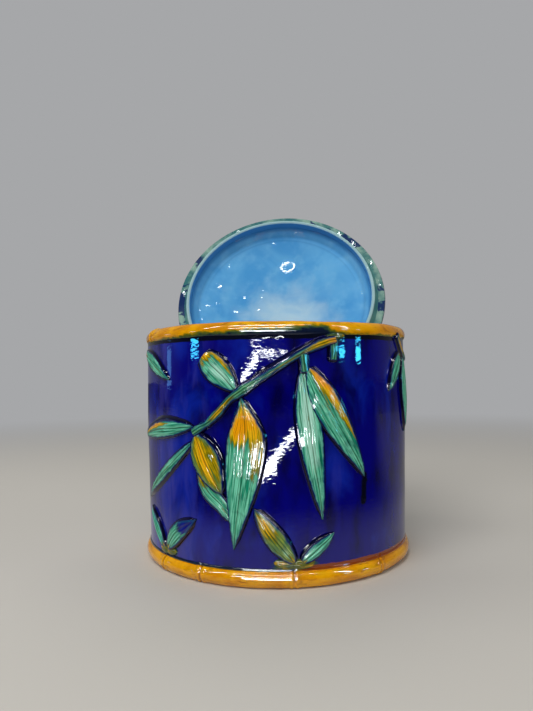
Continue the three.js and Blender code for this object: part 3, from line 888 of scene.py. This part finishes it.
SPRIGS = {
    "leaf_under": leaf(
        [[-55, 72], [-47, 59], [-38, 51], [-31, 41]], 4.6, 0.5, 0.6, 0.7, rise=1.3,
        gold=[(0.1, 0, 0.3, 1.5, 0.5)],
    ),
    "leaf_narrow": leaf(
        [[-58, 90], [-89, 66.5], [-119, 46]], 2.9, 0.5, 0.7, 1.1, light=[(0.5, 0, 0.3, 0.5, 0.3)],
    ),
    "leaf_left": leaf(
        [[-58, 99.4], [-92, 95.8], [-126, 90]], 5.0, 0.44, 0.9, 0.9,
        skirt=((0, 3, 2), (0.45, 6, 2.4), (1, 3, 2)),
        gold=[(0.58, -0.8, 0.17, 0.4, 1.1), (0.82, -0.5, 0.14, 0.5, 0.6)],
    ),
    "leaf_large": leaf(
        [[-24, 120], [-22, 111], [-20.7, 95], [-23, 72], [-29.8, 24]], 11.6, 0.34, 1.5, 1.1,
        skirt=((0, 2.4, 3), (0.3, 2.2, 3.4), (1, 2, 2.6)),
        gold=[(0.17, -0.1, 0.1, 1.5, 1.05), (0.26, -0.4, 0.08, 0.5, 0.7), (0.36, 0.75, 0.18, 0.42, 0.58)],
    ),
    "leaf_olive": leaf(
        [[-55, 94], [-47.5, 78], [-37, 58]], 9.0, 0.4, 0.65, 0.85, rise=3.4,
        skirt=((0, 3, 4), (0.5, 2.6, 5), (1, 2.4, 3.4)),
        gold=[(0.45, -0.1, 0.5, 0.55, 0.85), (0.12, 0.2, 0.2, 0.5, 0.25), (0.5, 0.8, 0.4, 0.4, 0.4)],
    ),
    "leaf_blunt": leaf(
        [[-26, 122], [-36, 132.5], [-50, 145]], 7.8, 0.64, 0.95, 0.42, skirt=((0, 2.5, 3), (1, 2.6, 3.6)),
        gold=[(0.97, -0.3, 0.14, 1.1, 0.8), (0.62, 0.95, 0.3, 0.25, 0.1), (0.6, -0.95, 0.3, 0.3, 0.7)],
        light=[(0.45, 0, 0.35, 0.6, 0.9)],
    ),
    "leaf_pale": leaf(
        [[15.2, 135], [18, 111], [21.5, 82], [27.4, 42]], 7.3, 0.36, 0.75, 1.0, rise=1.8,
        skirt=((0, 2.4, 2), (0.3, 3, 2.6), (1, 2.4, 2.4)), light=[(0.35, -0.1, 0.4, 0.7, 1.0)],
    ),
    "leaf_split": leaf(
        [[18.5, 136], [31.5, 111], [44, 90.5], [58.5, 66]], 8.5, 0.34, 0.7, 1.0, rise=2.7,
        skirt=((0, 1.2, 3.6), (0.4, 2.4, 4.2), (1, 2, 2.2)),
        gold=[(0.12, 0.7, 0.22, 0.62, 1.15), (0.5, 0.85, 0.3, 0.42, 0.58)],
        light=[(0.4, -0.4, 0.3, 0.4, 0.3)],
    ),
    "leaf_sprout_left": leaf(
        [[9, 16], [-4, 32], [-16, 49]], 5.4, 0.45, 0.7, 0.9, skirt=((0, 3.2, 2.4), (1, 3.4, 2.4)),
        gold=[(0.72, 0.1, 0.28, 1, 0.75), ROOT_GOLD], light=[(0.2, 0, 0.12, 0.8, 0.6)],
    ),
    "leaf_sprout_right": leaf(
        [[13, 16], [23, 23.5], [35, 33]], 3.4, 0.4, 0.8, 0.9,
        skirt=((0, 2.4, 3.6), (0.5, 2.4, 4), (1, 2, 2)), gold=[ROOT_GOLD],
    ),
    "leaf_low_left": leaf([[-90, 16], [-101, 28], [-114, 40]], 3.6, 0.42, 0.8, 0.9, gold=[ROOT_GOLD]),
    "leaf_low_right": leaf(
        [[-87, 16], [-75, 29], [-58, 39.5]], 5.2, 0.42, 0.8, 1.0, gold=[ROOT_GOLD],
        bare=[(0.95, 0.2, 0.42, 1.6, 1.3)],
    ),
    "leaf_high": leaf(
        [[-124, 150], [-104, 141.5], [-82, 130]], 4.8, 0.42, 0.8, 1.0, gold=[(0.05, 0, 0.15, 1, 0.5)],
    ),
    "leaf_edge": leaf([[104, 147], [97, 136], [86.5, 120.5]], 4.8, 0.42, 0.8, 1.0, gold=[ROOT_GOLD]),
    "leaf_side": leaf(
        [[112, 144], [115, 118], [117, 91]], 6.6, 0.42, 0.8, 1.1, light=[(0.4, 0, 0.3, 0.5, 0.6)],
    ),
    "twig_drop": twig([[15.6, 144], [16.2, 139], [16.5, 134]], 2.2, 1.6, 2, rise=2.6),
    "twig_stub": twig(
        [[36.6, 153.5], [36.4, 147.5], [35.6, 141.5]], 2, 2.2, 1.8, light=[(0.5, 0, 0.5, 0.7, 0.3)],
    ),
    "twig_edge": twig([[101, 158], [108, 150], [118, 143]], 1.8, 1.4, gold=[(0.4, 0, 0.4, 1.5, 0.9)]),
    "branch": twig(
        BRANCH_SPINE, 1.8, 2.2, 1, 0.9, 1, 1.4, 2.6, 1.6, 2.1, 1.4, 2.4, skirt=BRANCH_SKIRT, rise=2.8,
        knots=(20, 66, 84), gold=BRANCH_GOLD,
    ),
}
# Knobs of glaze where a sprig grows out of a band: they belong to the bands.
KNOB_SKIRT = ((0, 1.8, 1.8), (1, 1.8, 1.8))


def knob(spine, half, rise):
    return leaf(spine, half, 0.5, 0.5, 0.5, rise=rise, pillow=0.6, banded=True, skirt=KNOB_SKIRT)


KNOBS = {
    "sprout_knob_left": knob([[-4, 16.4], [3, 15], [11, 15.4]], 2.0, 1.2),
    "sprout_knob_right": knob([[8, 15], [15, 15.4], [22, 16.2]], 2.2, 1.4),
    "low_knob_left": knob([[-97, 16], [-92, 15], [-86, 14.6]], 1.8, 1.3),
    "low_knob_right": knob([[-89, 14.6], [-84, 15.2], [-77, 15.6]], 1.8, 1.2),
    "branch_knob": knob([[31, 155], [37, 155.8], [44, 156.2]], 1.4, 2.8),
}
GOLDEN = ("leaf_olive", "leaf_sprout_left")  # leaves with an olive ground
GOLDEN_SLOTS = (*GOLDEN, "leaf_split")  # leaves with the CAD's golden slot


def build_sprigs():
    for side, place in (("front_", on_wall), ("back_", on_back_wall)):
        for seed, (name, sprig) in enumerate(SPRIGS.items()):
            node = side + name
            material = GOLDS if name in GOLDEN else GREENS
            slot = "golden_leaf_glaze" if name in GOLDEN_SLOTS else "green_leaf_glaze"
            if sprig["kind"] == "twig":
                material, slot = TWIGS, "twig_glaze"
            fit(sprig_piece(node + "_relief", sprig, place, material, seed), "pot", slot, node)
        for seed, (name, sprig) in enumerate(KNOBS.items()):
            fit(sprig_piece(side + name, sprig, place, AMBERS, seed), "pot", "amber_glaze")


# ------------------------------------------------------------------ the lid
DOME_CORNERS = [
    (-30, 24.4), (0, 26), (30, 24.4), (55, 19.4), (75, 12), (86, 6.6), (89.4, 4.2), (LID_RADIUS, 2.2),
]
# Radius and height of the dome's outside, from beyond its middle to its edge.
DOME = smooth_spine(DOME_CORNERS, 400)[0]


def lid_to_pot(points):
    return LID_CENTRE + points @ LID_AXES


def on_dome(x, y, height):
    level = np.interp(np.hypot(x, y), DOME[:, 0], DOME[:, 1])
    return lid_to_pot(np.stack([x + 0 * height, y + 0 * height, level + height], -1))


def hollow_height(radius):
    """How far the lid's hollow stands above its seat."""
    return 18.2 - 0.00205 * radius**2


def build_dome():
    hollow = [(78.6, 0.2, 0.4), (77.4, 2, 1.5), *((r, hollow_height(r), 0) for r in np.linspace(73, 0, 60))]
    outside = [(r, z, 0) for r, z in DOME[DOME[:, 0] > 0]]
    seat = [(83.5, 0, 0.4), (89.2, 0, 1)]
    profile = filleted([*hollow[::-1], *seat, *outside[::-1], (0, DOME[:, 1].max(), 0)], 1.2)

    def shape(across, radius, height):
        x, y = radius * np.sin(across / OUTER), -radius * np.cos(across / OUTER)
        return radius, height + 0.05 * wave_noise(x, y, 60, 23) * smoothstep((74 - radius) / 6)

    def looks(across, radius, height):
        angle = across / OUTER
        x, y = radius * np.sin(angle), -radius * np.cos(angle)
        under = np.where(radius < 78.8, hollow_height(radius) + 2, -1)
        cloud = 0.65 * np.exp(-(((x - 10) / 44) ** 2) - ((y - 20) / 30) ** 2) + 0.45 * hump(radius, 52)
        rings = hump(radius - 72.5, 0.9) + hump(radius - 69, 0.7) * smoothstep(-y / 40)
        deep = 0.75 * smoothstep((radius - 75.5) / 2) + 0.35 * rings + 0.25 * smoothstep((-y - 42) / 22)
        degrees = np.degrees(angle)
        spots = ((268, 8), (46, 7), (97, 3), (300, 3))
        navy = sum(hump((degrees - at + 180) % 360 - 180, wide) for at, wide in spots)
        return {
            "hollow": (height < under) & (radius < 83.6),
            "cloud": cloud,
            "deep": np.clip(deep, 0, 1),
            "seat": smoothstep((radius - 82) / 1) * smoothstep((2.2 - height) / 1),
            "navy": navy,
        }

    material = dome_glaze()
    piece = turned("lid_dome_clay", profile, TURNED_SIDES, material, looks, place=lid_to_pot, shape=shape)
    fit(piece, "lid", "pale_blue_glaze", "lid_dome")


def build_flange():
    inner = [(78, 0.6, 0), (78.1, -5.4, 0.8)]
    outer = [(79.2, -6.3, 1), (80.6, -6.2, 1), (83.4, -0.6, 1), (84.2, 0.3, 0.2)]

    def looks(across, radius, height):
        return {
            "inner": smoothstep((79 - radius) / 0.8),
            # Where the painted highlight along the crest goes.
            "crest": smoothstep((-height - 5.2) / 0.6),
        }

    profile = filleted([*inner, *outer, inner[0]], 0.5)
    piece = turned("lid_flange_clay", profile, TURNED_SIDES, flange_glaze(), looks, place=lid_to_pot)
    fit(piece, "lid", "teal_glaze", "lid_flange")


def build_handle():
    span, reach, thick = 36, 62.4, 4.7
    foot = float(np.interp(span, DOME[:, 0], DOME[:, 1]))
    half = [(span, foot - 2), (span, foot + 10), (26, reach - 9), (17, reach - 1.2)]
    path, along, length = smooth_spine([*half, (0, reach), *[(-x, z) for x, z in half[::-1]]], 220)
    travel = np.linspace(0, length, len(path))
    knots = (22, length / 2 - 9, length / 2 + 12, length - 22)
    swell = sum(hump(travel - k - 1.9, 1.2) + hump(travel - k + 1.9, 1.2) for k in knots)
    crease = sum(hump(travel - k, 0.8) for k in knots)
    ends = hump(travel, 4) + hump(length - travel, 4)
    sides = 40
    angle = -np.arange(sides) / sides * 2 * math.pi
    radius = (thick + 0.55 * swell - 0.5 * crease + 2.6 * ends)[:, None]
    out = np.stack([-along[:, 1], along[:, 0]], -1)
    rim = path[:, None, :] + out[:, None, :] * (radius * np.cos(angle))[..., None]
    beside = radius * np.sin(angle)
    points = np.stack([rim[..., 0], beside + 0 * rim[..., 0], rim[..., 1]], -1).reshape(-1, 3)
    count = len(path)
    points = np.vstack([points, [path[0, 0], 0, path[0, 1]], [path[-1, 0], 0, path[-1, 1]]])
    values = {"bleed": 1.1 * ends, "rust": 0.3 * crease, "crease": np.clip(crease, 0, 1)}
    looks = {key: np.concatenate([np.repeat(v, sides), v[[0, -1]]]) for key, v in values.items()}
    quads = grid_faces(count, sides, closed=True)
    piece = make_piece("lid_twig_handle", lid_to_pot(points), quads, pole_fans(sides, count), AMBERS, looks)
    fit(piece, "lid", "amber_glaze", "lid_handle")


def build_lid_leaves():
    for number, (flip_x, flip_y) in enumerate(((1, 1), (-1, 1), (-1, -1), (1, -1)), 1):
        spine = [[x * flip_x, y * flip_y] for x, y in ((43, 4), (56, 14), (68, 33))]
        gold, light = [(0.95, 0, 0.2, 1, 0.7)], [(0.4, 0, 0.3, 0.5, 0.5)]
        sprig = leaf(spine, 5.2, 0.45, rise=1.8, gold=gold, light=light)
        piece = sprig_piece(f"lid_leaf_{number}_relief", sprig, on_dome, GREENS, number)
        fit(piece, "lid", "green_leaf_glaze", f"lid_leaf_{number}")


# ------------------------------------------------------------------ stage and light
POT_MIDDLE = Vector((0, 0, 0.11))
DAYLIGHT = (0.93, 0.97, 1)
SKYLIGHT = (0.05, 0.6, 1)

# Soft lights: name, azimuth, elevation, distance, width, height, watts.
SOFTBOXES = (
    ("key", -28, 52, 1.6, 0.9, 0.9, 17),
    ("fill_front", 12, 10, 1.6, 0.8, 0.8, 7),
    ("fill_right", 80, 30, 1.8, 1.0, 1.0, 4),
    ("fill_left", -95, 25, 1.8, 1.0, 1.2, 7),
    ("back", 180, 60, 1.8, 1.4, 1.0, 8),
)
# Thin bright lights that only rounded edges and flanks mirror.
EDGE_LIGHTS = (
    ("line_above", 10, 62, 1.3, 0.9, 0.022, 4),
    ("line_right", 60, 32, 1.3, 0.028, 0.8, 4.5),
    ("line_left", -62, 40, 1.3, 0.02, 0.6, 2.4),
)
# Gleams on the wall: name, where they start and end, across and up, then what gleam() takes.
WINDOW_GLEAMS = (
    ("window_leg", (-24, 134), (-13, 150), 1.2, 0.02, 40),
    ("window_top", (-17, 151), (4, 151.6), 1.2, 0.011, 40),
    ("window_end", (2, 151), (6.5, 146.5), 1.2, 0.012, 40),
    ("window_low", (-13, 64), (12, 92), 0.3, 0.008, 40),
    ("window_floor", (-13, 66), (-2, 70), 0.3, 0.012, 40),
)
SKY_GLEAMS = (
    ("sky_right", (41, 149), (45, 149), 1.0, 0.04, 26, SKYLIGHT),
    ("sky_right_far", (54, 148), (58, 148), 1.0, 0.05, 26, SKYLIGHT),
    ("sky_left", (-60, 151), (-54, 153), 1.0, 0.03, 24, (0.05, 0.55, 1)),
    ("sky_left_far", (-85, 140), (-80, 140), 1.0, 0.1, 2.5, (0.15, 0.45, 1)),
)
# Gleams on the rolls: name, start and end across, the roll's height, slope, distance, thickness, brightness.
ROLL_GLEAMS = (
    ("rim_line", -32, 10, POT_TOP - ROLL, 24, 1.0, 0.05, 50),
    ("rim_line_low", -32, 10, POT_TOP - ROLL, 8, 1.0, 0.05, 50),
    ("foot_line", -24, 4, ROLL, 18, 0.3, 0.02, 60),
    ("foot_line_low", -24, 4, ROLL, 13, 0.3, 0.02, 60),
)
# Where the lid's hollow glints, and where its seat does, in degrees clockwise from its top.
SPECKS = (
    (-44, -63), (-34, -68), (-9, -67), (-48, -42), (-57, -23), (-58, -5), (-66, -1), (-19, -20), (-19, -12),
    (-33, -12), (-20, 1), (-41, 5), (-75, -22),
)
SEAT_GLINTS = (-85, -29, 37, 48, 66, 82)


def area_light(name, width, height, watts, colour=(1, 1, 1)):
    """A rectangular light that the camera itself doesn't see."""
    data = bpy.data.lights.new(name, "AREA")
    data.shape = "RECTANGLE"
    data.size, data.size_y = width, height
    data.energy = watts
    data.color = colour
    light = bpy.data.objects.new(name, data)
    bpy.context.scene.collection.objects.link(light)
    light.visible_camera = False
    return light


def softbox(name, azimuth, elevation, distance, width, height, watts):
    """An area light facing the pot. Azimuth 0 is in front, and grows to the right."""
    turn, rise = math.radians(azimuth), math.radians(elevation)
    way = Vector((math.sin(turn) * math.cos(rise), -math.cos(turn) * math.cos(rise), math.sin(rise)))
    light = area_light(name, width, height, watts)
    facing = (-way).to_track_quat("-Z", "Y").to_matrix()
    light.matrix_world = Matrix.Translation(POT_MIDDLE + way * distance) @ facing.to_4x4()
    return light


def mirrored(point, normal, distance):
    """Where a light stands, this many metres off, so that the camera sees it mirrored in a spot."""
    point = Vector(point) * MM
    view = (point - EYE).normalized()
    normal = Vector(normal).normalized()
    return point + (view - 2 * view.dot(normal) * normal) * distance


def wall_spot(across, up):
    angle = across / OUTER
    return on_wall(np.float64(across), np.float64(up), 0), (math.sin(angle), -math.cos(angle), 0)


def roll_spot(across, middle, slope):
    """A spot on the rim's or foot's roll, where its face leans up by slope degrees."""
    angle, lean = across / OUTER, math.radians(slope)
    normal = (math.sin(angle) * math.cos(lean), -math.cos(angle) * math.cos(lean), math.sin(lean))
    centre = (math.sin(angle) * (OUTER - ROLL), -math.cos(angle) * (OUTER - ROLL), middle)
    return [c + ROLL * n for c, n in zip(centre, normal)], normal


def lid_spot(x, y):
    """A spot in the lid's hollow."""
    step = 0.1
    radius = math.hypot(x, y)
    level = hollow_height(radius)
    slope = (hollow_height(radius + step) - level) / step / max(radius, step)
    return lid_to_pot(np.array([x, y, level])), np.array([slope * x, slope * y, -1]) @ LID_AXES


def seat_spot(degrees):
    """A spot on the lid's seat, clockwise from its top."""
    turn = math.radians(degrees)
    middle = 86.5
    return lid_to_pot(np.array([middle * math.sin(turn), -middle * math.cos(turn), 0])), -LID_AXES[2]


def gleam(name, start, end, distance, thickness, brightness, colour=DAYLIGHT, on="pot"):
    """A strip light that the camera sees mirrored from one spot of the glaze to another."""
    a, b = (mirrored(*spot, distance) for spot in (start, end))
    spots = (Vector(start[0]) + Vector(end[0])) / 2 * MM
    length = (b - a).length
    light = area_light(name, length, thickness, brightness * math.pi * length * thickness, colour)
    light.visible_diffuse = False
    light.light_linking.receiver_collection = PIECES[on]
    sideways = (b - a).normalized()
    back = ((a + b) / 2 - spots).normalized()
    back = (back - sideways * back.dot(sideways)).normalized()
    axes = Matrix((sideways, back.cross(sideways), back)).transposed()
    light.matrix_world = Matrix.Translation((a + b) / 2) @ axes.to_4x4()


def lid_gleams():
    """A small bright ring in the hollow, glints on the seat and specks in the hollow."""
    distance, brightness = 0.8, 50
    ring = []
    for turn in np.linspace(0, 2 * math.pi, 9):
        across, down = 7 * math.cos(turn), 5 * math.sin(turn) - 1.5 * math.cos(turn)
        ring.append(lid_spot(5 + across, -44 + down))
    for number, (start, end) in enumerate(zip(ring[:-1], ring[1:])):
        gleam(f"ring_{number}", start, end, distance, 0.003, brightness, on="lid")
    for degrees in SEAT_GLINTS:
        start, end = seat_spot(degrees), seat_spot(degrees + 1)
        gleam(f"seat_glint_{degrees}", start, end, distance, 0.004, brightness, on="lid")
    for number, (x, y) in enumerate(SPECKS):
        start, end = lid_spot(x, y), lid_spot(x + 0.8, y + 0.8)
        gleam(f"speck_{number}", start, end, distance, 0.005, brightness, on="lid")


def build_lights():
    """Soft light for the glazes' colours, and thin lights that only show as reflections."""
    for settings in SOFTBOXES:
        softbox(*settings).visible_glossy = False
    for settings in EDGE_LIGHTS:
        line = softbox(*settings)
        line.visible_diffuse = False
        line.light_linking.receiver_collection = PIECES["pot"]
    lid_gleams()
    for name, start, end, *settings in WINDOW_GLEAMS:
        gleam(name, wall_spot(*start), wall_spot(*end), *settings)
    for name, start, end, middle, slope, *settings in ROLL_GLEAMS:
        gleam(name, roll_spot(start, middle, slope), roll_spot(end, middle, slope), *settings, on="bands")
    for name, start, end, *settings in SKY_GLEAMS:
        gleam(name, wall_spot(*start), wall_spot(*end), *settings)


def build_world():
    """Pale grey to the camera, and dimmer behind the camera for what the pot mirrors."""
    world = bpy.data.worlds.new("room")
    bpy.context.scene.world = world
    world.use_nodes = True
    shading = Shading(world.node_tree)
    sky = shading.tree.nodes["Background"]
    sky.inputs["Color"].default_value = (0.95, 0.97, 1, 1)
    strength = shading.node("ShaderNodeMapRange")
    direction = shading.node("ShaderNodeTexCoord").outputs["Generated"]
    shading.put(shading.depth(direction), strength.inputs["Value"])
    for socket, value in (("From Min", -0.1), ("From Max", 0.75), ("To Min", 0.04), ("To Max", 0.22)):
        strength.inputs[socket].default_value = value
    shading.put(strength.outputs["Result"], sky.inputs["Strength"])
    wall = shading.node("ShaderNodeBackground")
    wall.inputs["Color"].default_value = BACKDROP
    seen = shading.node("ShaderNodeLightPath").outputs["Is Camera Ray"]
    shading.blend(seen, sky.outputs[0], wall.outputs[0], "World Output")


def build_floor():
    """A wide pale floor. It fades into the backdrop far away, and looks darker mirrored in the glaze."""
    mesh = bpy.data.meshes.new("floor")
    reach = 12.0
    corners = [(x * reach, y * reach, 0) for x, y in ((-1, -1), (1, -1), (1, 1), (-1, 1))]
    mesh.from_pydata(corners, [], [(0, 1, 2, 3)])
    floor = bpy.data.objects.new("floor", mesh)
    bpy.context.scene.collection.objects.link(floor)
    glaze = Glaze("floor")
    length = glaze.node("ShaderNodeVectorMath", operation="LENGTH")
    glaze.put(glaze.place, length.inputs[0])
    away = length.outputs["Value"]
    rays = glaze.node("ShaderNodeLightPath").outputs
    before = glaze.add(0.45, glaze.between(glaze.depth(glaze.place), 0.1, -0.1), 0.55)
    unseen = glaze.times(rays["Is Glossy Ray"], glaze.times(glaze.between(away, 0.13, 0.3), before))
    shader = glaze.tree.nodes["Principled BSDF"]
    glaze.put(glaze.mix(unseen, FLOOR_GREY, srgb(40, 40, 44)), shader.inputs["Base Color"])
    shader.inputs["Roughness"].default_value = 0.75
    backdrop = glaze.node("ShaderNodeEmission")
    backdrop.inputs["Color"].default_value = BACKDROP
    fade = glaze.times(rays["Is Camera Ray"], glaze.between(away, 0.4, 1.6))
    glaze.blend(fade, shader.outputs[0], backdrop.outputs[0], "Material Output")
    mesh.materials.append(glaze.material)


build_body()
build_rim()
build_foot()
build_sprigs()
build_dome()
build_flange()
build_handle()
build_lid_leaves()
build_lights()
build_world()
build_floor()
bpy.context.scene.view_settings.view_transform = "Standard"
